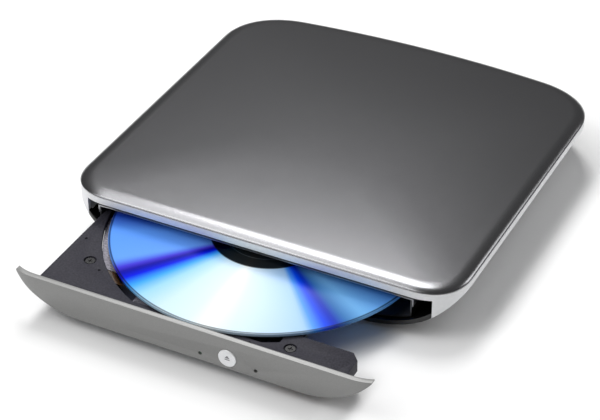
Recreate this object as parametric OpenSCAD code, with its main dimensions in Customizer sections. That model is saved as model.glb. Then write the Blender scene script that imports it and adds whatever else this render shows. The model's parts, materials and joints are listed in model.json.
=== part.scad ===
// External optical disc drive, shown with its tray part-way out.
// X runs to the right, Y to the back, Z up; the origin is the centre of the
// case's footprint on the surface that the feet stand on. Sizes in millimetres.

/* [Case] */
// Width of the case
case_w = 158.5; // [156:0.5:161]
// Depth of the case
case_d = 154; // [153:0.5:156]
// Radius of the case's two front corners in plan
corner_r = 17.5; // [15:0.5:19]
// Radius of the case's two back corners in plan
back_corner_r = 26; // [22:0.5:28]
// Squareness of the corners, where 2 is a plain arc
corner_power = 2.35; // [2:0.05:2.6]
// How far the back edge bends forward from its middle to the case's sides
back_bow = 7; // [5:0.5:7.5]
// Height of the seam between top cover and side frame
seam_z = 20.5; // [20.5:0.1:22]
// Height of the side frame's upright band
band_h = 2.7; // [2.3:0.1:2.8]
// Rise of the top cover's rounded edge
edge_rise = 1.7; // [1.2:0.1:2]
// Width of the top cover's rounded edge
edge_width = 5; // [4:0.5:7]
// Extra rise of the top cover towards its middle
crown_rise = 0.9; // [0.4:0.1:1.5]
// Half width of the flat part of the underside
belly_flat = 41; // [39:0.5:42]
// Thickness of the case walls
wall = 1.6; // [1.4:0.1:1.6]
// Thickness of the case floor
floor_t = 1.1; // [0.9:0.1:1.1]
// Height of the rubber feet
foot_h = 1.2; // [1.2:0.1:1.3]
// Radius of the rubber feet
foot_r = 4.5; // [3:0.5:5]
// Half width of the front opening between the frame's cheeks
cheek_x = 70.4; // [70.4:0.1:71]
// Height of the lip under the front opening
lip_h = 1.8; // [1.5:0.1:1.8]

/* [Front panel] */
// Half width of the front panel from tip to middle
panel_half_w = 70.1; // [69.5:0.1:70.1]
// Height of the panel's top edge
panel_top = 17.4; // [17:0.1:17.5]
// Height of the panel's bottom edge
panel_bottom = 4.5; // [4.3:0.1:5]
// Thickness of the panel
panel_t = 2; // [1.8:0.1:2]
// Half width of the straight part of the bottom edge
panel_flat = 44; // [40:1:48]
// Radius of the eject button
button_r = 3.5; // [3:0.1:3.7]
// Sideways place of the eject button
button_x = 16.2; // [14:0.1:18]
// Height of the eject button's middle
button_z = 9.1; // [8.6:0.1:9.5]
// How far the eject button goes in
button_travel = 0.6; // [0.4:0.1:0.7]
// Radius of the lamp hole and of the emergency release hole
pinhole_r = 0.75; // [0.6:0.05:0.9]

/* [Drive unit] */
// Sideways place of the drive unit's middle and of the disc
drive_x = -2; // [-2.2:0.1:-1.8]
// Width of the drive unit
drive_w = 128.4; // [128:0.1:128.5]
// Height of the drive unit's top face
drive_top = 14.9; // [14.9:0.1:15.2]
// Thickness of the sheet steel
sheet = 0.5; // [0.4:0.05:0.5]
// Place of the drive unit's front edge
drive_front = -74.2; // [-74.2:0.1:-73.8]
// Place of the drive unit's back edge
drive_back = 53; // [53:0.1:53.4]

/* [Tray] */
// How far the tray stands open
tray_open = 49; // [47:0.5:49.5]
// Left edge of the tray deck
tray_left = -65.2; // [-65.2:0.1:-65]
// Right edge of the long part of the tray
tray_right = 32; // [31.5:0.1:32]
// Right edge of the front block of the tray
block_right = 57.8; // [56:0.1:58]
// Back edge of the front block
block_back = -106.1; // [-107:0.1:-106]
// Back edge of the tray
tray_back = 1.8; // [1:0.1:1.8]
// Height of the tray's top face
deck_top = 11.2; // [11:0.1:11.2]
// Thickness of the tray's deck
deck_t = 1.7; // [1.6:0.1:1.7]
// Height of the underside of the tray's skirts
skirt_low = 4.2; // [4.2:0.1:4.4]
// Radius of the hollow under the disc
well_r = 62.3; // [61.5:0.1:62.4]

/* [Disc] */
// Radius of the disc
disc_r = 60; // [59.8:0.1:60.1]
// Radius of the disc's middle hole
disc_bore_r = 7.5; // [7.45:0.05:7.55]
// Thickness of the disc
disc_t = 1.2; // [1.1:0.05:1.3]
// Height of the disc's underside
disc_z = 11.64; // [11.6:0.02:11.8]
// Place of the disc's middle along Y
disc_y = -58.6; // [-59:0.1:-58.5]

/* [Pickup] */
// Direction in which the pickup travels
pickup_angle = 235; // [234:0.5:236]
// Distance of the lens from the spindle at rest
lens_start = 24; // [24:0.5:26]
// Distance of each guide rod from the pickup's middle line
rod_offset = 13; // [12.8:0.1:13]
// Radius of the guide rods
rod_r = 1; // [0.9:0.05:1.1]
// Height of the guide rods
rod_z = 6.7; // [6.6:0.05:6.8]
// Distance of the lead screw from the pickup's middle line
screw_offset = 18.4; // [18:0.1:18.5]
// Outer radius of the lead screw
screw_r = 1.2; // [1:0.05:1.2]
// Distance from one thread ridge to the next
screw_pitch = 3; // [2:0.5:4]

/* [Hidden] */
$fn = 64;
eps = 0.05;
far = 200;

corner_steps = 8;
bow_steps = 8;
band_low = seam_z - band_h;
belly_low = foot_h;
belly_run = case_w / 2 - belly_flat;
belly_climb = band_low - belly_low;
belly_r = (belly_run * belly_run + belly_climb * belly_climb) / (2 * belly_climb);
belly_step = case_w / 40;
front_y = -case_d / 2;
panel_y = front_y - tray_open;
tray_front = panel_y + panel_t;
panel_tip_h = 0.6;
panel_run = panel_half_w - panel_flat;
panel_climb = panel_top - panel_tip_h - panel_bottom;
panel_r = (panel_run * panel_run + panel_climb * panel_climb) / (2 * panel_climb);
deck_low = deck_top - deck_t;
skirt_t = 1.6;
drive_left = drive_x - drive_w / 2;
drive_right = drive_x + drive_w / 2;
pan_gap = 0.4;
guide_top = 8.6;
rail_low = 6.65;
rail_high = 7.95;
rail_gap = 0.15;
left_skirt = -54.8;
skirt_w = 2.2;
chord_y = -115.3;
cover_low = 8.9;
cover_front = -101.2;
traverse_low = 4.5;
traverse_top = 5.1;
hub_r = 13.2;
boss_r = 7.35;
shaft_r = 1;
shaft_gap = 0.03;
socket_z = 8;
board_z = 5.2;
board_t = 1.2;
jack_z = board_z + board_t + 3.2;

// ---- shared outlines ----

// Quarter of the plan outline: a superellipse arc with its flat ends.
function quarter(q, a, b, r) = [
    for (i = [0 : corner_steps])
        let (t = (q % 2 == 0 ? i : corner_steps - i) * 90 / corner_steps,
             sx = (q == 0 || q == 3) ? 1 : -1,
             sy = q < 2 ? 1 : -1)
        [sx * (a - r + r * pow(cos(t), 2 / corner_power)),
         sy * (b - r + r * pow(sin(t), 2 / corner_power))]];

// Bends the back half of the outline forward, more towards the sides.
function bowed(p) =
    [p[0], p[1] - back_bow * pow(p[0] / (case_w / 2), 2) * pow(max(p[1], 0) / (case_d / 2), 2)];

// Plan outline of the case, moved inwards by inset.
function outline(inset) =
    let (a = case_w / 2 - inset,
         b = case_d / 2 - inset,
         r = corner_r - min(inset, edge_width),
         rb = min(back_corner_r - min(inset, edge_width), b),
         back = [for (i = [1 : bow_steps - 1]) [(a - rb) * (1 - 2 * i / bow_steps), b]],
         points = concat(quarter(0, a, b, rb), back, quarter(1, a, b, rb), quarter(2, a, b, r),
                         quarter(3, a, b, r)))
    [for (p = points) bowed(p)];

// Height of the curved underside at x, for a skin that is t thick.
function belly(x, t) =
    belly_low + belly_r - sqrt(pow(belly_r - t, 2) - pow(max(abs(x) - belly_flat, 0), 2));

// Height of the front panel's lower edge at x.
function panel_edge(x) =
    panel_bottom + panel_r - sqrt(pow(panel_r, 2) - pow(max(abs(x) - panel_flat, 0), 2));

// Height of the top cover's outer face at a distance s inside its edge.
function cover_z(s) =
    seam_z + edge_rise * sqrt(1 - pow(1 - min(s / edge_width, 1), 2))
    + crown_rise * (1 - pow(1 - s / (case_d / 2), 2));

// A closed shell from rings of equal point count; each ring is [inset, z].
module ring_shell(rings) {
    n = len(outline(0));
    last = len(rings) - 1;
    points = [for (ring = rings) each [for (p = outline(ring[0])) [p[0], p[1], ring[1]]]];
    first_cap = [[for (i = [n - 1 : -1 : 0]) i]];
    last_cap = [[for (i = [0 : n - 1]) last * n + i]];
    sides = [for (k = [0 : last - 1]) for (i = [0 : n - 1])
        let (j = (i + 1) % n)
        each [[k * n + i, k * n + j, (k + 1) * n + j], [k * n + i, (k + 1) * n + j, (k + 1) * n + i]]];
    polyhedron(points = points, faces = concat(first_cap, sides, last_cap));
}

// Solid that fills the case below the band: plan outline crossed with the belly curve.
module belly_block(inset, t, top) {
    half = case_w / 2;
    intersection() {
        linear_extrude(height = top) polygon(outline(inset));
        along_y(front_y - 1, case_d / 2 + 1)
            polygon(concat([for (x = [-half : belly_step : half + eps]) [x, belly(x, t)]],
                           [[half, top + 1], [-half, top + 1]]));
    }
}

// Extrudes an X-Z outline along Y from y0 to y1.
module along_y(y0, y1) {
    translate([0, y1, 0]) rotate([90, 0, 0]) linear_extrude(height = y1 - y0) children();
}

// Box from its two opposite corners.
module span(low, high) {
    translate(low) cube(high - low);
}

// Places children at each [x, y] of a list.
module at_each(places) {
    for (p = places) translate([p[0], p[1], 0]) children();
}

// Upright tube between two heights.
module tube(r_out, r_in, z0, z1) {
    translate([0, 0, z0]) difference() {
        cylinder(r = r_out, h = z1 - z0);
        translate([0, 0, -eps]) cylinder(r = r_in, h = z1 - z0 + 2 * eps);
    }
}

// Puts children in the pickup's frame: x outwards from the spindle.
module pickup_frame() {
    translate([drive_x, disc_y, 0]) rotate([0, 0, pickup_angle]) children();
}

// Round bar along the pickup's x, from x0 to x1.
module bar(r, x0, x1, y, z) {
    translate([x0, y, z]) rotate([0, 90, 0]) cylinder(r = r, h = x1 - x0);
}

// ---- case ----

foot_places = [for (x = [-33, 33]) for (y = [-60, 60]) [x, y]];
case_screw_places = [for (x = [-46, -20, 24, 46]) [x, 66]];
case_screw_r = 1;
case_boss_r = 2.6;
pad_places = [for (x = [-30, 30]) for (y = [-62, 45]) [x, y]];
pad_r = 3;
usb_x = -22;
usb_half = [3.9, 2];
dc_x = 8;
dc_bore_r = 2.2;

module top_cover() {
    shell = 1.4;
    outer = [for (s = [60, 44, 24, 12, 5, 3.2, 1.8, 0.8, 0.25, 0]) [s, cover_z(s)]];
    inner = [[wall, seam_z], [wall + 1, seam_z + 0.6], [edge_width + 1, cover_z(edge_width) - shell],
             [60, cover_z(60) - shell]];
    color("#4f5052") ring_shell(concat(outer, inner));
}

module side_frame() {
    notch_slope = 0.59;
    notch_top_y = front_y + 2.4;
    clip_w = 8;
    color("#dcdddf") {
        difference() {
            union() {
                translate([0, 0, band_low]) linear_extrude(height = band_h) polygon(outline(0));
                belly_block(0, 0, band_low + eps);
            }
            belly_block(wall, floor_t, far);
            span([-cheek_x, -far, 0], [cheek_x, far, band_low]);
            // The cheeks' front edges lean back towards the bottom.
            rotate([90, 0, 90]) translate([0, 0, -case_w]) linear_extrude(height = 2 * case_w)
                polygon([[front_y - 5, 0], [notch_top_y + band_low * notch_slope, 0],
                         [notch_top_y, band_low], [front_y - 5, band_low]]);
        }
        // Clip ledges that the top cover snaps onto.
        for (side = [-1, 1]) for (y = [-40, 0, 40])
            translate([side * (case_w / 2 - wall - 0.4) - 0.5, y - clip_w / 2, band_low + 0.4])
                cube([1, clip_w, 1]);
    }
}

module bottom_cover() {
    color("#17171a") {
        difference() {
            union() {
                difference() {
                    intersection() {
                        belly_block(0, 0, band_low);
                        span([-cheek_x + 0.2, -far, 0], [cheek_x - 0.2, far, far]);
                    }
                    belly_block(wall, floor_t, far);
                }
                at_each(case_screw_places) tube(case_boss_r, case_screw_r, 0, board_z);
                // Pads that carry the drive unit.
                at_each(pad_places) translate([0, 0, foot_h + floor_t / 2])
                    cylinder(r = pad_r, h = floor_t / 2 + pan_gap);
            }
            // Front opening: everything above the lip.
            along_y(front_y - 2, front_y + wall + panel_t + 1)
                polygon(concat([for (x = [-cheek_x : cheek_x / 12 : cheek_x + eps]) [x, belly(x, lip_h)]],
                               [[cheek_x, far], [-cheek_x, far]]));
            // Pockets and holes for the case screws, from below.
            at_each(case_screw_places) cylinder(r = case_screw_r, h = 2 * board_z);
            for (p = case_screw_places) translate([p[0], p[1], 0])
                cylinder(r = 2.2, h = belly(p[0], 0) + 0.6);
            // What stands below the curved underside is trimmed away.
            difference() {
                span([-far, -far, -1], [far, far, band_low / 2]);
                belly_block(-2, 0, band_low);
            }
            // Openings for the sockets.
            span([usb_x - usb_half[0] - 0.2, case_d / 2 - 3, socket_z - usb_half[1] - 0.2],
                 [usb_x + usb_half[0] + 0.2, case_d / 2 + 1, socket_z + usb_half[1] + 0.2]);
            translate([dc_x, case_d / 2 - 3, jack_z]) rotate([-90, 0, 0]) cylinder(r = 3.2, h = 4);
        }
    }
}

module rubber_feet() {
    foot_bevel = 0.4;
    color("#2a2a2c") at_each(foot_places) {
        cylinder(r1 = foot_r - foot_bevel, r2 = foot_r, h = foot_bevel);
        translate([0, 0, foot_bevel]) cylinder(r = foot_r, h = foot_h - foot_bevel);
    }
}

module case_screws() {
    color("#8d8f92") for (p = case_screw_places) translate([p[0], p[1], belly(p[0], 0)]) difference() {
        union() {
            cylinder(r = 1.9, h = 0.6);
            cylinder(r = case_screw_r, h = 3.2);
        }
        for (a = [0, 90]) rotate([0, 0, a]) translate([-1.1, -0.2, -eps]) cube([2.2, 0.4, 0.4]);
    }
}

module usb_socket() {
    depth = 8;
    skin = 0.35;
    color("#c9cacc") translate([usb_x, case_d / 2 - depth - 1, socket_z]) {
        difference() {
            span([-usb_half[0], 0, -usb_half[1]], [usb_half[0], depth, usb_half[1]]);
            span([-usb_half[0] + skin, 1, -usb_half[1] + skin],
                 [usb_half[0] - skin, depth + 1, usb_half[1] - skin]);
        }
        span([-2.8, 0.9, -0.4], [2.8, depth - 1.2, 0.5]);
    }
}

module dc_jack() {
    depth = 10;
    color("#222226") translate([dc_x, case_d / 2 - depth - 0.4, jack_z]) difference() {
        union() {
            span([-4.2, 0, board_z + board_t - jack_z], [4.2, depth - 2, 3.2]);
            rotate([-90, 0, 0]) cylinder(r = 3, h = depth);
        }
        translate([0, 1.5, 0]) rotate([-90, 0, 0]) cylinder(r = dc_bore_r, h = depth);
    }
}

module dc_jack_pin() {
    pin_r = 0.65;
    color("#d8d3c0") translate([dc_x, case_d / 2 - 8.9, jack_z]) rotate([-90, 0, 0])
        cylinder(r = pin_r, h = 7);
}

module bridge_board() {
    color("#1f5a34") difference() {
        union() {
            span([-50, 55, board_z], [50, 71, board_z + board_t]);
            span([-30, 55, board_z], [18, 74, board_z + board_t]);
        }
        at_each(case_screw_places) translate([0, 0, board_z - 1]) cylinder(r = case_screw_r + 0.2, h = 4);
        span([usb_x - usb_half[0] - 0.3, 67.6, board_z - 1], [usb_x + usb_half[0] + 0.3, 76, board_z + 3]);
    }
}

module bridge_chips() {
    color("#1a1a1c") {
        span([-42, 58, board_z + board_t], [-32, 68, board_z + board_t + 1.2]);
        span([28, 63, board_z + board_t], [34, 69, board_z + board_t + 1]);
        span([-10, 58, board_z + board_t], [-5, 61, board_z + board_t + 1]);
    }
}

module drive_connector() {
    color("#d9d4c4") difference() {
        span([20, drive_back + 0.1, board_z + board_t], [52, drive_back + 6, board_z + board_t + 4]);
        span([21.5, drive_back - 1, board_z + board_t + 1.2],
             [50.5, drive_back + 3.5, board_z + board_t + 2.8]);
    }
}

// ---- drive unit housing ----

pan_posts = [[40, -40], [40, 40], [51, -40], [51, 40]];
side_screw_y = [-60, 0, 45];
pan_steps = 40;

// Height of the pan's inner floor at x, with a hair of clearance.
function pan_floor(x) = belly(x, floor_t + pan_gap + sheet) + 0.03;

// Outline of the dished pan between its two side walls, for a skin t thick.
function pan_curve(t, x0, x1) =
    [for (i = [0 : pan_steps]) let (x = x0 + (x1 - x0) * i / pan_steps)
        [x, belly(x, floor_t + pan_gap + t)]];

module drive_base_pan() {
    top = drive_top - sheet;
    color("#a9abae") {
        difference() {
            along_y(drive_front, drive_back)
                polygon(concat(pan_curve(0, drive_left, drive_right),
                               [[drive_right, top], [drive_left, top]]));
            along_y(drive_front - 1, drive_back - sheet)
                polygon(concat(pan_curve(sheet, drive_left + sheet, drive_right - sheet),
                               [[drive_right - sheet, far], [drive_left + sheet, far]]));
            span([22, drive_back - 2, board_z + board_t], [50, drive_back + 1, board_z + board_t + 4]);
        }
        for (p = pan_posts) translate([p[0], p[1], belly(p[0], floor_t + pan_gap + sheet / 2)])
            cylinder(r = 1.6, h = 5.6 - belly(p[0], floor_t + pan_gap + sheet / 2));
    }
}

module drive_top_plate() {
    skirt = 3.2;
    gap = 0.05;
    color("#b7b9bc") {
        span([drive_left - gap - sheet, drive_front, drive_top - sheet],
             [drive_right + gap + sheet, drive_back, drive_top]);
        for (side = [-1, 1]) difference() {
            x = side < 0 ? drive_left - gap - sheet : drive_right + gap;
            span([x, drive_front, drive_top - skirt], [x + sheet, drive_back, drive_top - sheet + eps]);
            for (y = side_screw_y) translate([x - 1, y, drive_top - 2]) rotate([0, 90, 0])
                cylinder(r = 0.8, h = 3);
        }
    }
}

module drive_screws() {
    gap = 0.05;
    color("#77797c") for (side = [-1, 1]) for (y = side_screw_y) {
        x = side < 0 ? drive_left - gap - sheet : drive_right + gap + sheet;
        translate([x, y, drive_top - 2]) rotate([0, side * 90, 0]) {
            cylinder(r = 1.2, h = 0.5);
            translate([0, 0, -sheet]) cylinder(r = 0.75, h = sheet + eps);
        }
    }
}

module main_board() {
    color("#23603a") span([37, -46, 5.6], [55, 48, 5.6 + 1]);
}

module main_chips() {
    color("#1b1b1e") {
        span([39, -8, 6.6], [51, 4, 7.8]);
        span([40, 14, 6.6], [48, 20, 7.6]);
        span([40, -30, 6.6], [46, -24, 7.6]);
    }
}

module rail_guide(x0, x1, groove_x, y0, y1) {
    difference() {
        along_y(y0, y1)
            polygon([[x0, pan_floor(x0)], [x1, pan_floor(x1)], [x1, guide_top], [x0, guide_top]]);
        span([groove_x[0], y0 - 1, rail_low - rail_gap], [groove_x[1], y1 + 1, rail_high + rail_gap]);
    }
}

module left_rail_guide() {
    color("#2d2d30") rail_guide(-57.2, left_skirt - 0.3, [-56.4, left_skirt], -70, 50);
}

module right_rail_guide() {
    color("#2d2d30") rail_guide(tray_right + 0.5, tray_right + 2.9, [tray_right, tray_right + 1.8], -52, 50);
}

latch_pin_at = [44, -63];
latch_pin_r = 1.2;

module latch_post() {
    low = pan_floor(latch_pin_at[0] + latch_pin_r);
    color("#b9bbbe") translate([latch_pin_at[0], latch_pin_at[1], low])
        cylinder(r = latch_pin_r, h = 8.9 - low);
}

// ---- slide rails, half way between case and tray ----

module slide_rail(x0, x1, y0, y1) {
    color("#c4c6c9") translate([0, -tray_open / 2, 0]) difference() {
        span([x0, y0, rail_low], [x1, y1, rail_high]);
        for (y = [y0 + 8, y1 - 8]) translate([(x0 + x1) / 2, y, rail_low - 1]) cylinder(r = 0.5, h = 4);
    }
}

module left_slide_rail() {
    slide_rail(-56.2, -53.7, -68, 50);
}

module right_slide_rail() {
    slide_rail(tray_right - 1.1, tray_right + 1.6, -50, 50);
}

// ---- tray ----

tray_outline = [
    [tray_left, tray_front + 0.4], [tray_left + 4, tray_front], [block_right, tray_front],
    [block_right, block_back - 3.3],
    [block_right - 3, block_back], [tray_right, block_back], [tray_right, tray_back],
    [tray_left, tray_back]];
tray_section = [
    [tray_left, deck_top], [tray_left, deck_low + 0.4], [tray_left + 1.2, deck_low],
    [left_skirt, deck_low], [left_skirt, 6],
    [-46, skirt_low], [46, skirt_low], [block_right, 6.6], [block_right, deck_top]];
screw_places = [[-54, -101.2], [34.2, -113.6]];
index_holes = [[-62.4, -117.6], [-62.3, -90.3], [-47.8, -105], [12.5, -118.3], [20.2, -117.2],
    [53.2, -118.6]];
grommet_places = [[-13, -11], [-13, 11], [34, -19.5]];
latch_pivot = [50, -118.5];
latch_z = 7.2;
latch_h = 1.4;
latch_pivot_r = 1;
stem_r = 1.2;
stem_drop = 1;

// The open space under the deck, inside the skirts.
module tray_cavity() {
    inner_left = left_skirt + skirt_w;
    inner_right = tray_right - 2.5;
    span([inner_left, tray_front + skirt_t, 0], [inner_right, tray_back - skirt_t, deck_low]);
    span([inner_right - eps, tray_front + skirt_t, 0], [block_right - skirt_t, block_back - 3.6, deck_low]);
    span([tray_right + skirt_t, tray_front + skirt_t, 0],
         [block_right - 4.4, block_back - skirt_t, deck_low]);
}

module tray() {
    color("#45434b") {
        difference() {
            intersection() {
                along_y(tray_front, tray_back) polygon(tray_section);
                linear_extrude(height = far) polygon(tray_outline);
            }
            tray_cavity();
            // Hollow under the disc, ended by a straight chord at the front.
            intersection() {
                translate([drive_x, disc_y, deck_low - 1]) cylinder(r = well_r, h = 5, $fn = 120);
                span([-far, chord_y, 0], [tray_right - 2.5, tray_back - skirt_t, far]);
            }
            // Ledge for the metal cover below the deck.
            intersection() {
                translate([drive_x, disc_y, cover_low - eps])
                    cylinder(r = well_r, h = deck_low - cover_low + 2 * eps);
                span([-far, chord_y - 3, 0], [tray_right - 2.5, tray_back - skirt_t, far]);
            }
            // Grooves for the slide rails.
            span([left_skirt - 1, -119, rail_low - rail_gap], [left_skirt + 1.3, far, rail_high + rail_gap]);
            span([tray_right - 1.3, block_back - 1, rail_low - rail_gap],
                 [tray_right + 1, far, rail_high + rail_gap]);
            // Slot that lets the latch post into the block.
            span([latch_pin_at[0] - 2, block_back - 4, 0],
                 [latch_pin_at[0] + 2, block_back + 1, deck_low - 0.2]);
            // Recesses of the two screws and the small index holes.
            at_each(screw_places) translate([0, 0, deck_top - 0.9]) cylinder(r = 2.4, h = 2);
            at_each(screw_places) translate([0, 0, deck_low - 0.6]) cylinder(r = 0.8, h = 4);
            // Hole in the front wall for the stem of the eject button.
            translate([button_x, tray_front - 1, button_z - stem_drop]) rotate([-90, 0, 0])
                cylinder(r = stem_r + 0.15, h = skirt_t + 1.5);
            at_each(index_holes) translate([0, 0, deck_top - 0.5]) cylinder(r = 0.55, h = 1);
        }
        // Pivot post of the latch lever.
        translate([latch_pivot[0], latch_pivot[1], latch_z - 0.4])
            cylinder(r = latch_pivot_r, h = deck_low + 0.2 - latch_z + 0.4);
    }
}

// Curved plate that closes the tray bay; its ends run out to points.
module front_panel() {
    color("#848484") translate([0, -tray_open, 0]) difference() {
        intersection() {
            linear_extrude(height = far) difference() {
                polygon(outline(0));
                polygon(outline(panel_t));
            }
            along_y(front_y - 1, front_y + 6)
                polygon(concat([for (x = [-panel_half_w : panel_half_w / 20 : panel_half_w + eps])
                                [x, panel_edge(x)]],
                               [[panel_half_w, panel_top], [-panel_half_w, panel_top]]));
        }
        translate([button_x, front_y - 1, button_z]) rotate([-90, 0, 0])
            cylinder(r = button_r + 0.15, h = 5);
        for (x = [button_x - 10.7, button_x + 11])
            translate([x, front_y - 1, button_z - 1.6]) rotate([-90, 0, 0]) cylinder(r = pinhole_r, h = 5);
    }
}

module lamp_lens() {
    color("#9fd6a8") translate([button_x - 10.7, panel_y + 0.5, button_z - 1.6]) rotate([-90, 0, 0])
        cylinder(r = pinhole_r - 0.02, h = panel_t - 0.5);
}

module eject_button() {
    stem_h = 3.8;
    color("#d9dadb") translate([button_x, panel_y - 0.3, button_z]) rotate([-90, 0, 0]) {
        cylinder(r1 = button_r - 0.3, r2 = button_r, h = 0.3);
        translate([0, 0, 0.3]) cylinder(r = button_r, h = panel_t - 0.7);
        translate([0, stem_drop, 0.6]) cylinder(r = stem_r, h = stem_h);
    }
}

module tray_board() {
    color("#23603a") span([-6, tray_front + skirt_t + 2.9, 5], [27, tray_front + skirt_t + 3.7, 8.9]);
}

module eject_switch() {
    back = tray_front + skirt_t + 2.9;
    color("#c8c9cb") {
        span([button_x - 2.2, back - 1.3, button_z - 2.6], [button_x + 2.2, back, button_z + 0.3]);
        translate([button_x, back - 1.7, button_z - stem_drop]) rotate([-90, 0, 0])
            cylinder(r = 0.8, h = 0.5);
    }
}

module tray_bottom_plate() {
    color("#b2b4b7") {
        difference() {
            span([-45, tray_front + 0.5, skirt_low - sheet], [tray_right - 0.5, tray_back - 0.5, skirt_low]);
            for (y = [-100, -70, -20]) for (x = [-30, 12]) span([x - 8, y, 0], [x + 8, y + 10, far]);
        }
        // Posts that carry the damped traverse.
        pickup_frame() at_each(grommet_places) translate([0, 0, skirt_low - eps]) cylinder(r = 1.1, h = 3.6);
    }
}

module pickup_cover() {
    slot_half = 8;
    color("#b9bbbd") difference() {
        intersection() {
            translate([drive_x, disc_y, cover_low]) cylinder(r = well_r - 0.2, h = 0.5, $fn = 120);
            union() {
                span([tray_left + 2.6, cover_front, 0], [tray_right - 2.8, tray_back - skirt_t - 0.2, far]);
                span([-29, chord_y + 0.2, 0], [-21.5, cover_front + eps, far]);
            }
        }
        translate([drive_x, disc_y, 0]) cylinder(r = 14.4, h = far);
        pickup_frame() span([0, -slot_half, 0], [70, slot_half, far]);
    }
}

module pickup_flex() {
    thin = 0.2;
    width = 2.5;
    color("#b07a22") intersection() {
        translate([drive_x, disc_y, cover_low + 0.1]) difference() {
            cylinder(r = well_r - 0.1, h = thin, $fn = 120);
            translate([0, 0, -eps]) cylinder(r = well_r - 0.1 - width, h = thin + 2 * eps, $fn = 120);
        }
        span([-48, -107, 0], [-35, cover_front - 0.1, far]);
    }
}

module tray_screws() {
    color("#1d1d20") at_each(screw_places) translate([0, 0, deck_top - 0.9]) difference() {
        union() {
            cylinder(r = 1.8, h = 0.6);
            translate([0, 0, -1.3]) cylinder(r = 0.8, h = 1.4);
        }
        translate([0, 0, 0.2]) for (a = [0, 90]) rotate([0, 0, a])
            translate([-1, -0.2, 0]) cube([2, 0.4, 1]);
    }
}

// ---- damped traverse with spindle motor and pickup drive ----

screw_x0 = 9.4;
screw_x1 = 61.4;
rod_x0 = 2;
rod_x1 = 64.5;

module traverse_frame() {
    block_t = 2.2;
    color("#9a9da1") pickup_frame() difference() {
        union() {
            span([-17, -16, traverse_low], [62, 16, traverse_top]);
            translate([34, -19.5, traverse_low]) cylinder(r = 3, h = traverse_top - traverse_low);
            span([31, -19.5, traverse_low], [37, -15, traverse_top]);
            for (x = [rod_x0 + 0.4, rod_x1 - block_t - 0.4]) for (y = [-rod_offset, rod_offset])
                span([x, y - 1.9, traverse_low], [x + block_t, y + 1.9, rod_z + 1.6]);
            span([screw_x1 + 0.2, rod_offset, traverse_low],
                 [screw_x1 + 1.7, screw_offset + 1.3, rod_z + 1.3]);
        }
        span([15, -10.5, 0], [59, 10.5, far]);
        for (y = [-rod_offset, rod_offset]) bar(rod_r, -1, 70, y, rod_z);
        bar(0.63, screw_x1 - 1, screw_x1 + 3, screw_offset, rod_z);
        at_each(grommet_places) cylinder(r = 1.5, h = far);
    }
}

module damper_grommets() {
    color("#3a3a3d") pickup_frame() at_each(grommet_places) tube(2.8, 1.15, traverse_top, traverse_top + 2);
}

module guide_rods() {
    color("#d2d4d6") pickup_frame() for (y = [-rod_offset, rod_offset]) bar(rod_r, rod_x0, rod_x1, y, rod_z);
}

module sled_motor() {
    color("#8a8c90") pickup_frame() difference() {
        union() {
            bar(2, -1, screw_x0 - 0.4, screw_offset, rod_z);
            span([screw_x0 - 1.2, 16, traverse_low], [screw_x0 - 0.4, screw_offset + 1.5, rod_z + 1.8]);
        }
        bar(0.63, screw_x0 - 5, screw_x0 + 1, screw_offset, rod_z);
    }
}

module lead_screw() {
    ridge = 0.45;
    root = screw_r - ridge;
    turns = floor((screw_x1 - screw_x0 - 2) / screw_pitch);
    color("#cdb77a") pickup_frame() {
        bar(0.6, screw_x0 - 4, screw_x1 + 1.4, screw_offset, rod_z);
        translate([screw_x0, screw_offset, rod_z]) rotate([0, 90, 0]) rotate_extrude()
            polygon(concat([[0, 0], [root, 0]],
                [for (i = [0 : turns - 1]) each [
                    [root, 1 + i * screw_pitch], [screw_r, 1 + i * screw_pitch + ridge],
                    [screw_r, 1 + i * screw_pitch + 2 * ridge], [root, 1 + i * screw_pitch + 3 * ridge]]],
                [[root, screw_x1 - screw_x0], [0, screw_x1 - screw_x0]]));
    }
}

module spindle_base() {
    color("#a3a5a8") translate([drive_x, disc_y, 0]) difference() {
        union() {
            translate([0, 0, traverse_top]) cylinder(r = 11.5, h = 0.5);
            translate([0, 0, traverse_top]) cylinder(r = 2.4, h = 3);
        }
        translate([0, 0, traverse_top + 0.4]) cylinder(r = shaft_r + shaft_gap, h = 5);
        base_flats();
    }
}

// Flats that keep the motor base clear of the guide rods' end blocks.
module base_flats() {
    rotate([0, 0, pickup_angle]) for (side = [-1, 1])
        span([1, side < 0 ? -14 : 10.9, 0], [6, side < 0 ? -10.9 : 14, far]);
}

module stator_coils() {
    poles = 9;
    color("#a8622c") translate([drive_x, disc_y, 0]) {
        tube(4.4, 2.5, 5.9, 8);
        for (i = [0 : poles - 1]) rotate([0, 0, i * 360 / poles]) span([4, -1.1, 6.1], [9.4, 1.1, 7.8]);
    }
}

module spindle_shaft() {
    color("#d5d7d9") translate([drive_x, disc_y, traverse_top + 0.5]) cylinder(r = shaft_r, h = 3.3);
}

module rotor_cup() {
    color("#b4b6b9") translate([drive_x, disc_y, 0]) {
        tube(10.7, 10.1, 6, 9.2);
        translate([0, 0, 8.6]) difference() {
            cylinder(r = 10.2, h = 0.6);
            translate([0, 0, -eps]) cylinder(r = shaft_r, h = 0.3 + eps);
        }
    }
}

module turntable_hub() {
    color("#2c2c30") translate([drive_x, disc_y, 0]) difference() {
        union() {
            translate([0, 0, 9.2]) cylinder(r = 6, h = 0.6);
            translate([0, 0, 9.7]) cylinder(r = hub_r, h = 1.5);
            translate([0, 0, 11.1]) cylinder(r = boss_r, h = 1.7);
            translate([0, 0, 12.8]) cylinder(r1 = boss_r, r2 = boss_r - 1.2, h = 0.7);
        }
        for (a = [90, 210, 330]) rotate([0, 0, a]) span([4.2, -1.2, 12.2], [10, 1.2, 14]);
    }
}

module turntable_ring() {
    color("#515156") translate([drive_x, disc_y, 0]) tube(hub_r, 10.2, 11.2, disc_z);
}

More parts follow.
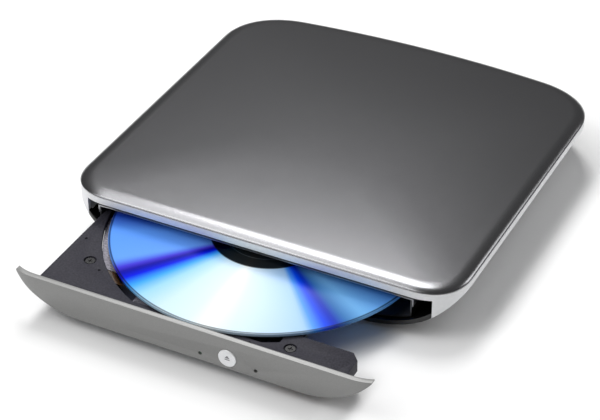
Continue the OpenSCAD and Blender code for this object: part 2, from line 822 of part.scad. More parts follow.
module clamp_lugs() {
    color("#c9cacc") translate([drive_x, disc_y, 0]) for (a = [90, 210, 330]) rotate([0, 0, a]) {
        span([4.4, -1, 12.3], [7.2, 1, 13.3]);
        span([7.1, -1, disc_z + disc_t + 0.06], [8.1, 1, 13.3]);
    }
}

module optical_disc() {
    color("#a9c8f2") translate([drive_x, disc_y, disc_z]) difference() {
        cylinder(r = disc_r, h = disc_t, $fn = 180);
        translate([0, 0, -eps]) cylinder(r = disc_bore_r, h = disc_t + 2 * eps);
    }
}

module pickup_sled() {
    low = 5.4;
    high = 8.6;
    nut_low = 5.2;
    color("#8f9296") pickup_frame() difference() {
        union() {
            span([lens_start - 8, -15, low], [lens_start + 6, 15, high]);
            span([lens_start - 10, -15, low], [lens_start + 6, -11.4, high]);
            span([lens_start - 2, 14.9, nut_low], [lens_start + 2, screw_offset + 1.6, high]);
        }
        for (y = [-rod_offset, rod_offset]) bar(rod_r + 0.04, 0, 70, y, rod_z);
        bar(screw_r + 0.1, 0, 70, screw_offset, rod_z);
        span([lens_start - 5, -6, 6.2], [lens_start + 5, 6, far]);
        bar(1.5, lens_start + 3.1, lens_start + 8, -8.6, 7);
    }
}

module laser_diode() {
    color("#caa64a") pickup_frame() {
        bar(1.5, lens_start + 3.1, lens_start + 6, -8.6, 7);
        bar(1.2, lens_start + 5.9, lens_start + 6.8, -8.6, 7);
    }
}

module lens_holder() {
    color("#303034") pickup_frame() difference() {
        span([lens_start - 4.2, -5.2, 6.8], [lens_start + 4.2, 5.2, 9.5]);
        translate([lens_start, 0, 0]) cylinder(r = 2.2, h = far);
    }
}

module objective_lens() {
    color("#9fd4ff") pickup_frame() translate([lens_start, 0, 9.5]) {
        cylinder(r = 2.6, h = 0.3);
        translate([0, 0, 0.3]) cylinder(r1 = 2.2, r2 = 1.2, h = 0.35);
    }
}

module latch_solenoid() {
    color("#6d4a2a") {
        span([34.5, -121.5, 5.6], [41.5, -114.5, 9.3]);
        translate([41.5, -117, 7.8]) rotate([0, 90, 0]) cylinder(r = 0.9, h = 6);
    }
}

// Hook that holds the tray in at its post; shown released.
module latch_lever() {
    nose_t = 1.5;
    nose_y = latch_pin_at[1] - tray_open + latch_pin_r + 1.3;
    nose_x = latch_pin_at[0] + latch_pin_r + 0.5;
    color("#cfcfd2") translate([0, 0, latch_z]) linear_extrude(height = latch_h) difference() {
        union() {
            translate(latch_pivot) circle(r = 2.4);
            translate([latch_pivot[0] - 1.6, latch_pivot[1]])
                square([3.2, nose_y - latch_pivot[1] + nose_t]);
            translate([nose_x, nose_y]) square([latch_pivot[0] - nose_x, nose_t]);
        }
        translate(latch_pivot) circle(r = latch_pivot_r + shaft_gap);
    }
}

top_cover();
side_frame();
bottom_cover();
rubber_feet();
case_screws();
usb_socket();
dc_jack();
dc_jack_pin();
bridge_board();
bridge_chips();
drive_connector();
drive_base_pan();
drive_top_plate();
drive_screws();
main_board();
main_chips();
left_rail_guide();
right_rail_guide();
latch_post();
left_slide_rail();
right_slide_rail();
tray();
front_panel();
lamp_lens();
tray_bottom_plate();
tray_board();
eject_switch();
pickup_cover();
pickup_flex();
tray_screws();
traverse_frame();
damper_grommets();
guide_rods();
sled_motor();
spindle_base();
stator_coils();
latch_solenoid();
eject_button();
latch_lever();
spindle_shaft();
rotor_cup();
turntable_hub();
turntable_ring();
clamp_lugs();
optical_disc();
pickup_sled();
laser_diode();
lens_holder();
objective_lens();
lead_screw();
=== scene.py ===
"""External optical disc drive: fine visible pieces, materials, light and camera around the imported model."""
import json
import math

import bmesh
import bpy
from mathutils import Matrix, Vector


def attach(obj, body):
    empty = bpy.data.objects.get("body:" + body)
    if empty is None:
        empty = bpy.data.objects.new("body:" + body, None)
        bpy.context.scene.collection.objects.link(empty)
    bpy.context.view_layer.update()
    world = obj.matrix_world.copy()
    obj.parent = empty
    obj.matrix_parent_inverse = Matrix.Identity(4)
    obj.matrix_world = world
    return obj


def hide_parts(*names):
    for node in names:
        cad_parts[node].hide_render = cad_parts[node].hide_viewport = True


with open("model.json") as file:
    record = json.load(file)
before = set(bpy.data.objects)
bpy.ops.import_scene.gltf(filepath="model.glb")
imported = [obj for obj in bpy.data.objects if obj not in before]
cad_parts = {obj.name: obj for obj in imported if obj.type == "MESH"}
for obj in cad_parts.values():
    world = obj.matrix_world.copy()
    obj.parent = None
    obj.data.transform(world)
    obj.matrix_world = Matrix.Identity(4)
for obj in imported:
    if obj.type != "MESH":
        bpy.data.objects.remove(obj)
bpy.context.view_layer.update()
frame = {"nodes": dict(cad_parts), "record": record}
MM = 0.001

# ---- driving dimensions, millimetres ----
CASE_W, CASE_D = 158.5, 154.0
CORNER_R, BACK_CORNER_R, CORNER_POWER, BACK_BOW = 17.5, 26.0, 2.35, 7.0
SEAM_Z, BAND_H = 20.5, 2.7
EDGE_RISE, EDGE_WIDTH, CROWN_RISE = 1.7, 5.0, 0.9
BELLY_FLAT, BELLY_LOW, WALL, FLOOR_T = 41.0, 1.2, 1.6, 1.1
CHEEK_X, LIP_H = 70.4, 1.8
TRAY_OPEN = 49.0
PANEL_HALF_W, PANEL_TOP, PANEL_BOTTOM, PANEL_T, PANEL_FLAT = 70.1, 17.4, 4.5, 2.0, 44.0
PANEL_TIP_H = 0.6
BUTTON_R, BUTTON_X, BUTTON_Z = 3.5, 16.2, 9.1
PINHOLE_R, LAMP_SHIFT, RELEASE_SHIFT, PINHOLE_DROP = 0.75, -10.7, 11.0, 1.6
DISC_R, DISC_BORE_R, DISC_T, DISC_Z = 60.0, 7.5, 1.2, 11.64
DISC_AT = (-2.0, -58.6)
SCREW_X = (-46, -20, 24, 46)
USB_X, SOCKET_Z, JACK_X, JACK_Z = -22.0, 8.0, 8.0, 9.6
ARC_STEPS = 24

BAND_LOW = SEAM_Z - BAND_H
BELLY_RUN = CASE_W / 2 - BELLY_FLAT
BELLY_CLIMB = BAND_LOW - BELLY_LOW
BELLY_R = (BELLY_RUN ** 2 + BELLY_CLIMB ** 2) / (2 * BELLY_CLIMB)
PANEL_RUN = PANEL_HALF_W - PANEL_FLAT
PANEL_CLIMB = PANEL_TOP - PANEL_TIP_H - PANEL_BOTTOM
PANEL_R = (PANEL_RUN ** 2 + PANEL_CLIMB ** 2) / (2 * PANEL_CLIMB)
FRONT_Y = -CASE_D / 2
# Lays an outline that was drawn in X-Z and extruded along Y into the Y-Z plane.
SWAP_X_Y = Matrix(((0, 1, 0, 0), (1, 0, 0, 0), (0, 0, 1, 0), (0, 0, 0, 1)))


def outline(inset, steps=ARC_STEPS):
    """Plan outline of the case moved inwards: superellipse corners, and a back edge bowed in plan."""
    a, b = CASE_W / 2 - inset, CASE_D / 2 - inset
    points = []
    for q, (sx, sy) in enumerate([(1, 1), (-1, 1), (-1, -1), (1, -1)]):
        r = min((BACK_CORNER_R if sy > 0 else CORNER_R) - min(inset, EDGE_WIDTH), b)
        for i in range(steps + 1):
            t = math.radians(90 * (i if q % 2 == 0 else steps - i) / steps)
            c = max(math.cos(t), 0) ** (2 / CORNER_POWER)
            s = max(math.sin(t), 0) ** (2 / CORNER_POWER)
            points.append((sx * (a - r + r * c), sy * (b - r + r * s)))
        if q == 0:
            points += [((a - r) * (1 - 2 * i / steps), b) for i in range(1, steps)]
    return [(x, y - BACK_BOW * (2 * x / CASE_W) ** 2 * (2 * max(y, 0) / CASE_D) ** 2)
            for x, y in points]


def belly(x, thick=0.0):
    """Height of the curved underside at x, for a skin of that thickness."""
    return BELLY_LOW + BELLY_R - math.sqrt((BELLY_R - thick) ** 2 - max(abs(x) - BELLY_FLAT, 0) ** 2)


def panel_edge(x):
    """Height of the front panel's lower edge at x."""
    return PANEL_BOTTOM + PANEL_R - math.sqrt(PANEL_R ** 2 - max(abs(x) - PANEL_FLAT, 0) ** 2)


def cover_z(s):
    """Height of the top cover's outer face at a distance s inside its edge."""
    rise = EDGE_RISE * math.sqrt(1 - (1 - min(s / EDGE_WIDTH, 1)) ** 2)
    return SEAM_Z + rise + CROWN_RISE * (1 - (1 - s / (CASE_D / 2)) ** 2)


# ---- mesh helpers ----
def link_object(name, data):
    """Puts a mesh, light or camera in the scene as an object."""
    obj = bpy.data.objects.new(name, data)
    bpy.context.scene.collection.objects.link(obj)
    return obj


def to_object(name, bm):
    """Turns a bmesh in millimetres into an object in metres."""
    bmesh.ops.recalc_face_normals(bm, faces=bm.faces)
    bmesh.ops.scale(bm, vec=(MM, MM, MM), verts=bm.verts)
    mesh = bpy.data.meshes.new(name)
    bm.to_mesh(mesh)
    bm.free()
    return link_object(name, mesh)


def finish_object(obj, material, body, nodes, smooth=40):
    """Gives an object its material and shading, rides it on a body and hides the CAD nodes it stands for."""
    obj.data.materials.clear()
    obj.data.materials.append(material)
    for p in obj.data.polygons:
        p.use_smooth = True
    obj.data.set_sharp_from_angle(angle=math.radians(smooth))
    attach(obj, body)
    if nodes:
        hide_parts(*nodes)


def loft(rings, closed=False):
    """Joins rings of 3-D points, each with the same count, by quads; an open loft is capped."""
    bm = bmesh.new()
    loops = [[bm.verts.new(p) for p in ring] for ring in rings]
    n = len(loops[0])
    following = loops[1:] + (loops[:1] if closed else [])
    for a, b in zip(loops, following):
        for i in range(n):
            j = (i + 1) % n
            bm.faces.new((a[i], a[j], b[j], b[i]))
    if not closed:
        bm.faces.new(list(reversed(loops[0])))
        bm.faces.new(loops[-1])
    return bm


def prism(name, points, low, high, axis="z"):
    """Closed prism from a plan outline; axis y extrudes an X-Z outline along Y."""
    if axis == "z":
        rings = [[(x, y, low) for x, y in points], [(x, y, high) for x, y in points]]
    else:
        rings = [[(x, high, z) for x, z in points], [(x, low, z) for x, z in points]]
    return to_object(name, loft(rings))


def rectangle(x0, y0, x1, y1):
    """Corners of a rectangle, anticlockwise."""
    return [(x0, y0), (x1, y0), (x1, y1), (x0, y1)]


def box(name, low, high):
    """Block between two opposite corners."""
    return prism(name, rectangle(low[0], low[1], high[0], high[1]), low[2], high[2])


def circle(r, steps, u=0.0, v=0.0):
    """Points of a circle about (u, v), anticlockwise."""
    turns = [2 * math.pi * i / steps for i in range(steps)]
    return [(u + r * math.cos(t), v + r * math.sin(t)) for t in turns]


def rod(name, r, start, length, axis="z", steps=48):
    """Cylinder from start along +axis, z or y."""
    x, y, z = start
    if axis == "z":
        return prism(name, circle(r, steps, x, y), z, z + length)
    return prism(name, circle(r, steps, x, z), y, y + length, "y")


def combine(base, others, operation):
    """Applies boolean operations of others on base, then removes the others."""
    for other in others:
        cut = base.modifiers.new("cut", "BOOLEAN")
        cut.operation, cut.solver, cut.object = operation, "EXACT", other
        apply_modifiers(base)
        mesh = other.data
        bpy.data.objects.remove(other)
        bpy.data.meshes.remove(mesh)
    return base


def apply_modifiers(obj):
    """Replaces an object's mesh by the one its modifiers make."""
    graph = bpy.context.evaluated_depsgraph_get()
    mesh = bpy.data.meshes.new_from_object(obj.evaluated_get(graph))
    old = obj.data
    obj.modifiers.clear()
    obj.data = mesh
    bpy.data.meshes.remove(old)


def bevel(obj, width, segments=2, angle=35):
    """Rounds the edges sharper than an angle, after merging doubles and flat faces."""
    bm = bmesh.new()
    bm.from_mesh(obj.data)
    bmesh.ops.remove_doubles(bm, verts=bm.verts, dist=2e-6)
    bmesh.ops.dissolve_limit(bm, angle_limit=math.radians(0.3), verts=bm.verts, edges=bm.edges)
    bm.to_mesh(obj.data)
    bm.free()
    edge = obj.modifiers.new("edge", "BEVEL")
    edge.width, edge.segments = width * MM, segments
    edge.limit_method, edge.angle_limit = "ANGLE", math.radians(angle)
    apply_modifiers(obj)


# ---- materials ----
def nodes_of(name):
    """New material, its node tree and its main shader."""
    material = bpy.data.materials.new(name)
    material.use_nodes = True
    tree = material.node_tree
    return material, tree, tree.nodes["Principled BSDF"]


def add(tree, kind, **values):
    """New node with its settings or its inputs' values given by name."""
    node = tree.nodes.new(kind)
    for key, value in values.items():
        if hasattr(node, key) and key not in node.inputs:
            setattr(node, key, value)
        else:
            node.inputs[key].default_value = value
    return node


def math_node(tree, operation, a, b=None):
    """Output of a Math node whose inputs are numbers or other nodes' outputs."""
    node = tree.nodes.new("ShaderNodeMath")
    node.operation = operation
    for i, value in enumerate((a, b)):
        if value is None:
            continue
        if isinstance(value, (int, float)):
            node.inputs[i].default_value = value
        else:
            tree.links.new(value, node.inputs[i])
    return node.outputs[0]


def fill_ramp(tree, stops):
    """Colour ramp node with the given (position, linear colour) stops."""
    ramp = tree.nodes.new("ShaderNodeValToRGB")
    while len(ramp.color_ramp.elements) < len(stops):
        ramp.color_ramp.elements.new(0.5)
    for element, (position, colour) in zip(ramp.color_ramp.elements, stops):
        element.position = position
        element.color = list(colour) + [1]
    return ramp


def surface(name, colour, rough, metal, spread, grain, bump, stretch=(1, 1, 1), **shader):
    """Procedural surface: a fine grain varies the colour a little and roughens the normal."""
    material, tree, bsdf = nodes_of(name)
    coords = tree.nodes.new("ShaderNodeTexCoord")
    mapping = tree.nodes.new("ShaderNodeMapping")
    mapping.inputs["Scale"].default_value = stretch
    tree.links.new(coords.outputs["Object"], mapping.inputs["Vector"])
    noise = add(tree, "ShaderNodeTexNoise", Scale=grain, Detail=3.0)
    tree.links.new(mapping.outputs["Vector"], noise.inputs["Vector"])
    darker, lighter = [c * (1 - spread) for c in colour], [min(c * (1 + spread), 1) for c in colour]
    ramp = fill_ramp(tree, [(0.3, darker), (0.7, lighter)])
    tree.links.new(noise.outputs["Fac"], ramp.inputs["Fac"])
    tree.links.new(ramp.outputs["Color"], bsdf.inputs["Base Color"])
    if bump:
        dent = add(tree, "ShaderNodeBump", Strength=bump, Distance=0.0001)
        tree.links.new(noise.outputs["Fac"], dent.inputs["Height"])
        tree.links.new(dent.outputs["Normal"], bsdf.inputs["Normal"])
    bsdf.inputs["Roughness"].default_value = rough
    bsdf.inputs["Metallic"].default_value = metal
    for key, value in shader.items():
        bsdf.inputs[key.replace("_", " ")].default_value = value
    return material


def srgb(*rgb):
    """Screen colour, 0 to 255, as the linear values that shaders take."""
    return [(v / 255 / 12.92) if v < 10 else ((v / 255 + 0.055) / 1.055) ** 2.4 for v in rgb]


def disc_material():
    """Blue coating whose colour changes round the disc's middle in soft sectors, a painted reflection of the
    light it splits, with a dark hub and rim line.
    """
    material, tree, bsdf = nodes_of("disc_colour_and_painted_reflection")
    coords = tree.nodes.new("ShaderNodeTexCoord")
    parts = tree.nodes.new("ShaderNodeSeparateXYZ")
    tree.links.new(coords.outputs["Object"], parts.inputs["Vector"])
    u = math_node(tree, "SUBTRACT", parts.outputs["X"], DISC_AT[0] * MM)
    v = math_node(tree, "SUBTRACT", parts.outputs["Y"], DISC_AT[1] * MM)
    uu, vv = math_node(tree, "MULTIPLY", u, u), math_node(tree, "MULTIPLY", v, v)
    radius = math_node(tree, "SQRT", math_node(tree, "ADD", uu, vv))
    # 0 at the back of the disc, rising anticlockwise; the front is at 0.5.
    turn = math_node(tree, "ARCTAN2", math_node(tree, "MULTIPLY", u, -1.0), v)
    turns = math_node(tree, "DIVIDE", turn, 2 * math.pi)
    share = math_node(tree, "FRACT", math_node(tree, "ADD", turns, 1.0))
    # Painted reflection: colour by angle round the disc stands in for light its surface splits and mirrors;
    # the whitest stops are painted highlights.
    painted_reflection_stops = [
        (0, (96, 158, 240)), (50, (30, 110, 235)), (62, (120, 190, 250)), (85, (205, 235, 252)),
        (105, (30, 70, 200)), (115, (92, 154, 246)), (133, (104, 162, 250)), (138, (70, 56, 214)),
        (141, (12, 10, 150)), (145, (0, 28, 230)), (150, (60, 168, 255)), (156, (160, 216, 252)),
        (166, (206, 234, 252)), (178, (218, 240, 253)), (185, (244, 252, 253)), (194, (214, 236, 252)),
        (219, (170, 210, 250)), (222, (80, 160, 252)), (226, (0, 76, 250)), (230, (6, 40, 190)),
        (234, (60, 120, 186)), (241, (118, 184, 242)), (262, (60, 130, 235)), (300, (150, 205, 250)),
        (335, (40, 90, 215)), (360, (96, 158, 240))]
    ramp = fill_ramp(tree, [(degrees / 360, srgb(*colour)) for degrees, colour in painted_reflection_stops])
    tree.links.new(share, ramp.inputs["Fac"])
    # Brightness by radius in millimetres: dark hub with two thin rings, the coating, a dark line at the rim.
    bands = [(0.0, 0.03), (10.4, 0.03), (10.6, 0.16), (10.9, 0.03), (16.4, 0.03), (16.6, 0.14), (16.9, 0.02),
             (22.0, 0.02), (22.5, 1.0), (59.0, 1.0), (59.3, 0.2), (59.7, 0.2), (59.9, 0.8)]
    zones = fill_ramp(tree, [(r / DISC_R, (value, value, value)) for r, value in bands])
    tree.links.new(math_node(tree, "DIVIDE", radius, DISC_R * MM), zones.inputs["Fac"])
    dark = add(tree, "ShaderNodeMix", data_type="RGBA")
    dark.blend_type = "MULTIPLY"
    dark.inputs["Factor"].default_value = 1.0
    tree.links.new(ramp.outputs["Color"], dark.inputs["A"])
    tree.links.new(zones.outputs["Color"], dark.inputs["B"])
    tree.links.new(dark.outputs["Result"], bsdf.inputs["Base Color"])
    bsdf.inputs["Roughness"].default_value = 0.25
    bsdf.inputs["Specular IOR Level"].default_value = 0.15
    return material


cover_paint = surface("cover_paint", srgb(112, 112, 114), 0.24, 0.95, 0.10, 2600, 0.10)
frame_silver = surface("frame_silver", srgb(238, 239, 241), 0.45, 0.1, 0.02, 700, 0.01)
black_gloss = surface("black_gloss", srgb(10, 10, 12), 0.10, 0.0, 0.2, 500, 0.01)
rubber = surface("rubber_dark", srgb(42, 42, 44), 0.85, 0.0, 0.15, 1500, 0.25)
sheet_steel = surface("sheet_steel", srgb(176, 178, 182), 0.34, 0.9, 0.05, 600, 0.03, (1, 6, 1))
# Painted shade: a darker copy of sheet_steel for the base pan and traverse frame, which sit in shade inside
# the drive.
painted_shade_steel = surface("painted_shade_steel", srgb(96, 97, 101), 0.42, 0.85, 0.08, 500, 0.03, (1, 6, 1))
bright_steel = surface("bright_steel", srgb(205, 207, 210), 0.22, 0.95, 0.04, 900, 0.02)
screw_steel = surface("screw_steel", srgb(140, 142, 146), 0.35, 0.9, 0.08, 1800, 0.08)
black_plastic = surface("black_plastic", srgb(34, 34, 37), 0.5, 0.0, 0.15, 1400, 0.12)
black_screw = surface("black_screw", srgb(22, 22, 24), 0.38, 0.4, 0.2, 1500, 0.08)
board_green = surface("board_green", srgb(28, 92, 56), 0.45, 0.0, 0.12, 350, 0.04)
ivory = surface("connector_ivory", srgb(214, 206, 186), 0.5, 0.0, 0.04, 900, 0.05)
tray_plastic = surface("tray_plastic", srgb(50, 49, 57), 0.6, 0.0, 0.3, 1500, 0.5, Specular_IOR_Level=0.2)
textured_sheet = surface("textured_sheet", srgb(136, 133, 142), 0.55, 0.4, 0.5, 1000, 0.6, (1, 2.5, 1))
panel_paint = surface("panel_paint", srgb(140, 140, 139), 0.42, 0.25, 0.04, 2400, 0.05)
button_silver = surface("button_silver", srgb(240, 241, 243), 0.35, 0.3, 0.03, 1800, 0.04)
lamp_green = surface("lamp_lens", srgb(60, 78, 64), 0.25, 0.0, 0.1, 900, 0.02)
amber = surface("flex_amber", srgb(66, 42, 12), 0.3, 0.1, 0.9, 700, 0.04, (1, 5, 1))
copper = surface("copper_wire", srgb(186, 100, 52), 0.35, 0.8, 0.2, 3500, 0.3, (1, 1, 5))
brass = surface("brass", srgb(204, 178, 110), 0.28, 0.95, 0.06, 1200, 0.04)
alloy = surface("cast_alloy", srgb(150, 153, 158), 0.45, 0.85, 0.1, 1200, 0.15)
lens_glass = surface("lens_glass", srgb(150, 205, 245), 0.05, 0.0, 0.04, 600, 0.0)
mark_grey = surface("mark_grey", srgb(120, 121, 124), 0.4, 0.2, 0.08, 1500, 0.03)
disc_colour_and_reflection = disc_material()
CAD_MATERIALS = {
    "rubber_feet": rubber, "case_screws": screw_steel, "usb_socket": bright_steel, "dc_jack": black_plastic,
    "dc_jack_pin": brass, "bridge_board": board_green, "bridge_chips": black_plastic,
    "drive_connector": ivory, "drive_base_pan": painted_shade_steel, "drive_top_plate": sheet_steel,
    "drive_screws": screw_steel, "main_board": board_green, "main_chips": black_plastic,
    "left_rail_guide": black_plastic, "right_rail_guide": black_plastic, "latch_post": screw_steel,
    "left_slide_rail": sheet_steel, "right_slide_rail": sheet_steel, "tray": tray_plastic,
    "lamp_lens": lamp_green, "tray_bottom_plate": sheet_steel, "tray_board": board_green,
    "eject_switch": bright_steel, "pickup_cover": textured_sheet, "pickup_flex": amber,
    "tray_screws": black_screw, "traverse_frame": painted_shade_steel, "damper_grommets": rubber,
    "guide_rods": bright_steel, "sled_motor": screw_steel, "spindle_base": sheet_steel,
    "stator_coils": copper, "latch_solenoid": copper, "latch_lever": ivory, "spindle_shaft": bright_steel,
    "rotor_cup": bright_steel, "turntable_hub": black_plastic, "turntable_ring": rubber,
    "clamp_lugs": bright_steel, "pickup_sled": alloy, "laser_diode": brass, "lens_holder": black_plastic,
    "objective_lens": lens_glass, "lead_screw": brass, "top_cover": cover_paint,
    "side_frame": frame_silver, "bottom_cover": black_gloss, "front_panel": panel_paint,
    "eject_button": button_silver, "optical_disc": disc_colour_and_reflection}
BODY_OF = {n: body for body, names in frame["record"]["behaviour"]["bodies"].items() for n in names}
for cad_name, cad_object in frame["nodes"].items():
    cad_object.data.materials.clear()
    cad_object.data.materials.append(CAD_MATERIALS[cad_name])


# ---- fine pieces ----
def refined(cad_name, width, segments=2, angle=30):
    """Copy of a CAD node with its sharp edges rounded; it stands for the node."""
    mesh = frame["nodes"][cad_name].data.copy()
    obj = link_object(cad_name + "_fine", mesh)
    if mesh.attributes.get("custom_normal"):
        mesh.attributes.remove(mesh.attributes["custom_normal"])
    bevel(obj, width, segments, angle)
    finish_object(obj, CAD_MATERIALS[cad_name], BODY_OF[cad_name], [cad_name])


def make_top_cover():
    """Domed lid with a rounded edge and a groove above its seam, lofted through rings of the plan outline."""
    shell, lip, groove, middle = 1.4, 0.36, 0.7, 60
    insets = [middle, 50, 40, 30, 22, 16, 12, 9, 7.4, 6.2, 5.4, 4.8, 4.2, 3.6, 3, 2.4, 1.9, 1.4, 1, 0.65,
              0.4, 0.2, 0.1]
    profile = [(s, cover_z(s)) for s in insets]
    profile += [(0.0, SEAM_Z + lip), (groove, SEAM_Z + lip - 0.05), (groove, SEAM_Z), (WALL, SEAM_Z),
                (WALL + 1, SEAM_Z + 0.6),
                (EDGE_WIDTH + 1, cover_z(EDGE_WIDTH) - shell), (middle, cover_z(middle) - shell)]
    bm = loft([[(x, y, z) for x, y in outline(s, 32)] for s, z in profile])
    finish_object(to_object("top_cover_fine", bm), cover_paint, "case", ["top_cover"], 50)


def hull_block(name, inset, thick, top, steps=44):
    """Plan outline crossed with the curved underside, up to a height."""
    block = prism(name, outline(inset), -1.0, top)
    half = CASE_W / 2
    xs = [half * (2 * i / steps - 1) for i in range(steps + 1)]
    curve = [(x, belly(x, thick)) for x in xs]
    curve = [(-half - 1, curve[0][1])] + curve + [(half + 1, curve[-1][1])]
    cutter = prism(name + "_curve", curve + [(half + 1, top + 2), (-half - 1, top + 2)],
                   FRONT_Y - 1, CASE_D / 2 + 1, "y")
    return combine(block, [cutter], "INTERSECT")


def make_side_frame():
    """Silver band round the case, with its curved cheeks at both sides; their front edges lean back."""
    slope, top_y = 0.59, FRONT_Y + 2.4
    body = hull_block("side_frame_fine", 0, 0, SEAM_Z)
    inner = hull_block("inner", WALL, FLOOR_T, SEAM_Z + 3)
    mouth = box("mouth", (-CHEEK_X, -200, -5), (CHEEK_X, 200, BAND_LOW))
    notch = prism("notch", [(FRONT_Y - 5, -1), (top_y + (BAND_LOW + 1) * slope, -1), (top_y, BAND_LOW),
                            (FRONT_Y - 5, BAND_LOW)], -CASE_W, CASE_W, "y")
    notch.data.transform(SWAP_X_Y)
    combine(body, [inner, mouth, notch], "DIFFERENCE")
    bevel(body, 0.28, 3, 38)
    finish_object(body, frame_silver, "case", ["side_frame"], 35)


def make_bottom_cover():
    """Glossy curved tub: its front lip, screw pockets and socket openings."""
    overlap, side_w, back_y = 0.2, 40, CASE_D / 2
    usb_half_w, usb_half_h, jack_r = 4.1, 2.2, 3.2
    pocket_r, pocket_y, pocket_depth = 2.2, 66, 0.6
    body = hull_block("bottom_cover_fine", 0, 0, BAND_LOW)
    inner = hull_block("inner", WALL, FLOOR_T, BAND_LOW + 3)
    edges = [box("side", (x, -200, -5), (x + side_w, 200, 40))
             for x in (CHEEK_X - overlap, -CHEEK_X + overlap - side_w)]
    xs = [CHEEK_X * (i / 30 - 1) for i in range(61)]
    mouth = prism("mouth", [(x, belly(x, LIP_H)) for x in xs] + [(CHEEK_X + 1, 60), (-CHEEK_X - 1, 60)],
                  FRONT_Y - 2, FRONT_Y + WALL + PANEL_T + 1, "y")
    pockets = [rod("pocket", pocket_r, (x, pocket_y, -1), belly(x) + 1 + pocket_depth) for x in SCREW_X]
    usb = box("usb", (USB_X - usb_half_w, back_y - 3, SOCKET_Z - usb_half_h),
              (USB_X + usb_half_w, back_y + 1, SOCKET_Z + usb_half_h))
    jack = rod("jack", jack_r, (JACK_X, back_y - 3, JACK_Z), 4, "y")
    combine(body, [inner, mouth, usb, jack] + edges + pockets, "DIFFERENCE")
    bevel(body, 0.3, 3, 38)
    finish_object(body, black_gloss, "case", ["bottom_cover"], 35)


def make_front_panel():
    """Curved plate with pointed ends that closes the tray bay."""
    y0 = -TRAY_OPEN
    start_y = FRONT_Y + y0 - 1
    plate = prism("front_panel_fine", [(x, y + y0) for x, y in outline(0, 40)], 0, 30)
    hollow = prism("hollow", [(x, y + y0) for x, y in outline(PANEL_T, 40)], -5, 40)
    xs = [PANEL_HALF_W * (i / 60 - 1) for i in range(121)]
    corners = [(PANEL_HALF_W, PANEL_TOP), (-PANEL_HALF_W, PANEL_TOP)]
    face = prism("face", [(x, panel_edge(x)) for x in xs] + corners, start_y, start_y + 7, "y")
    combine(plate, [face], "INTERSECT")
    drills = [rod("button_hole", BUTTON_R + 0.15, (BUTTON_X, start_y, BUTTON_Z), 5, "y")]
    for shift in (LAMP_SHIFT, RELEASE_SHIFT):
        place = (BUTTON_X + shift, start_y, BUTTON_Z - PINHOLE_DROP)
        drills.append(rod("pinhole", PINHOLE_R, place, 5, "y", 32))
    combine(plate, [hollow] + drills, "DIFFERENCE")
    bevel(plate, 0.22, 2, 40)
    finish_object(plate, panel_paint, "tray", ["front_panel"], 35)


def make_disc():
    """Thin round disc with a soft rim, a middle hole and a raised stacking ring."""
    top, low, soft = DISC_Z + DISC_T, DISC_Z, 0.18
    profile = [(DISC_BORE_R, low + 0.1), (DISC_BORE_R, top - 0.1), (DISC_BORE_R + 0.1, top), (16.3, top),
               (16.5, top + 0.03), (17.0, top + 0.03), (17.2, top), (DISC_R - soft, top),
               (DISC_R - 0.05, top - 0.06), (DISC_R, top - soft), (DISC_R, low + soft),
               (DISC_R - 0.05, low + 0.06), (DISC_R - soft, low), (DISC_BORE_R + 0.1, low)]
    bm = loft([[(x, y, z) for x, y in circle(r, 192, *DISC_AT)] for r, z in profile], closed=True)
    finish_object(to_object("optical_disc_fine", bm), disc_colour_and_reflection, "spindle", ["optical_disc"], 30)


def make_button():
    """Round push button with a dished face, a stem behind it and a plain mark; its axis is along Y."""
    face_y = FRONT_Y - TRAY_OPEN - 0.3
    stem_r, stem_drop, stem_length = 1.2, 1, 2.9
    mark_half_w, mark_top, bar_top, bar_low = 0.95, 1.15, -0.4, -0.75
    mark_y0, mark_y1 = face_y + 0.15, face_y + 0.6
    profile = [(0.3, 0.2), (1.4, 0.19), (2.4, 0.13), (3.0, 0.03), (3.2, 0.0), (3.38, 0.05), (BUTTON_R, 0.2),
               (BUTTON_R, 1.6), (0.3, 1.6)]
    rings = [[(x, face_y + depth, z) for x, z in circle(r, 64, BUTTON_X, BUTTON_Z)] for r, depth in profile]
    button = to_object("eject_button_fine", loft(rings))
    finish_object(button, button_silver, "button", ["eject_button"], 40)
    stem_at = (BUTTON_X, face_y + 1.5, BUTTON_Z - stem_drop)
    stem = rod("eject_button_stem", stem_r, stem_at, stem_length, "y", 32)
    finish_object(stem, button_silver, "button", [])
    left, right = BUTTON_X - mark_half_w, BUTTON_X + mark_half_w
    triangle = [(left, BUTTON_Z), (right, BUTTON_Z), (BUTTON_X, BUTTON_Z + mark_top)]
    mark = prism("eject_button_mark", triangle, mark_y0, mark_y1, "y")
    finish_object(mark, mark_grey, "button", [])
    strip = rectangle(left, BUTTON_Z + bar_low, right, BUTTON_Z + bar_top)
    bar = prism("eject_button_bar", strip, mark_y0, mark_y1, "y")
    finish_object(bar, mark_grey, "button", [])


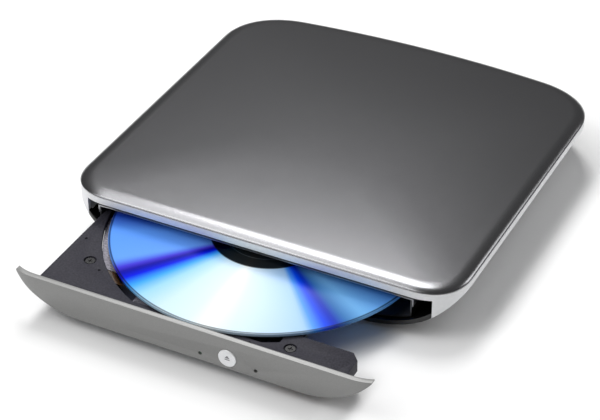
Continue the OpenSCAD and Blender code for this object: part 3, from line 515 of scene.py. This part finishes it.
BEVELS = {"tray": 0.22, "turntable_hub": 0.2, "drive_top_plate": 0.1, "pickup_sled": 0.12,
          "lens_holder": 0.15, "rubber_feet": 0.3}
make_top_cover()
make_side_frame()
make_bottom_cover()
make_front_panel()
make_disc()
make_button()
for cad_name, width in BEVELS.items():
    refined(cad_name, width)


# ---- floor, light and camera ----
def area_light(name, place, aim, size, power, size_y=None):
    """Square soft box, or a rectangular one when size_y is given; sizes in metres, power in watts."""
    data = bpy.data.lights.new(name, "AREA")
    data.energy, data.size = power, size
    if size_y:
        data.shape, data.size_y = "RECTANGLE", size_y
    lamp = link_object(name, data)
    lamp.location = place
    lamp.rotation_euler = (Vector(aim) - Vector(place)).to_track_quat("-Z", "Y").to_euler()


def make_stage():
    """Plain pale floor that the feet stand on."""
    mesh = bpy.data.meshes.new("floor")
    bm = bmesh.new()
    bmesh.ops.create_circle(bm, cap_ends=True, segments=96, radius=6.0)
    bm.to_mesh(mesh)
    bm.free()
    floor = link_object("floor", mesh)
    floor.data.materials.append(surface("floor_pale", (0.93, 0.93, 0.93), 0.9, 0.0, 0.004, 6, 0))


def make_camera():
    """Camera in front of the drive, to its right and above it."""
    data = bpy.data.cameras.new("camera")
    data.lens, data.sensor_width = 119.98, 36.0
    camera = link_object("camera", data)
    camera.location = (0.27777, -0.58922, 0.44624)
    camera.rotation_euler = (math.radians(54.80), 0, math.radians(26.76))
    bpy.context.scene.camera = camera


def make_light():
    """Dim even surroundings and four soft boxes: the top mirrors the back one, its front edge the strip."""
    world = bpy.data.worlds.new("studio")
    world.use_nodes = True
    world.node_tree.nodes["Background"].inputs["Color"].default_value = (1, 1, 1, 1)
    world.node_tree.nodes["Background"].inputs["Strength"].default_value = 0.16
    bpy.context.scene.world = world
    area_light("back", (-0.38, 0.62, 1.18), (0, -0.03, 0.02), 0.36, 8.0, 0.7)
    area_light("strip", (-0.6, -0.05, 1.35), (0, -0.05, 0.02), 1.7, 11.0, 0.45)
    area_light("front", (-0.55, -0.8, 0.95), (0, -0.05, 0.02), 0.8, 6.0)
    area_light("right", (0.85, 0.85, 0.7), (0.05, 0, 0.02), 0.5, 4.0)


make_stage()
make_camera()
make_light()
bpy.context.scene.view_settings.view_transform = "Standard"
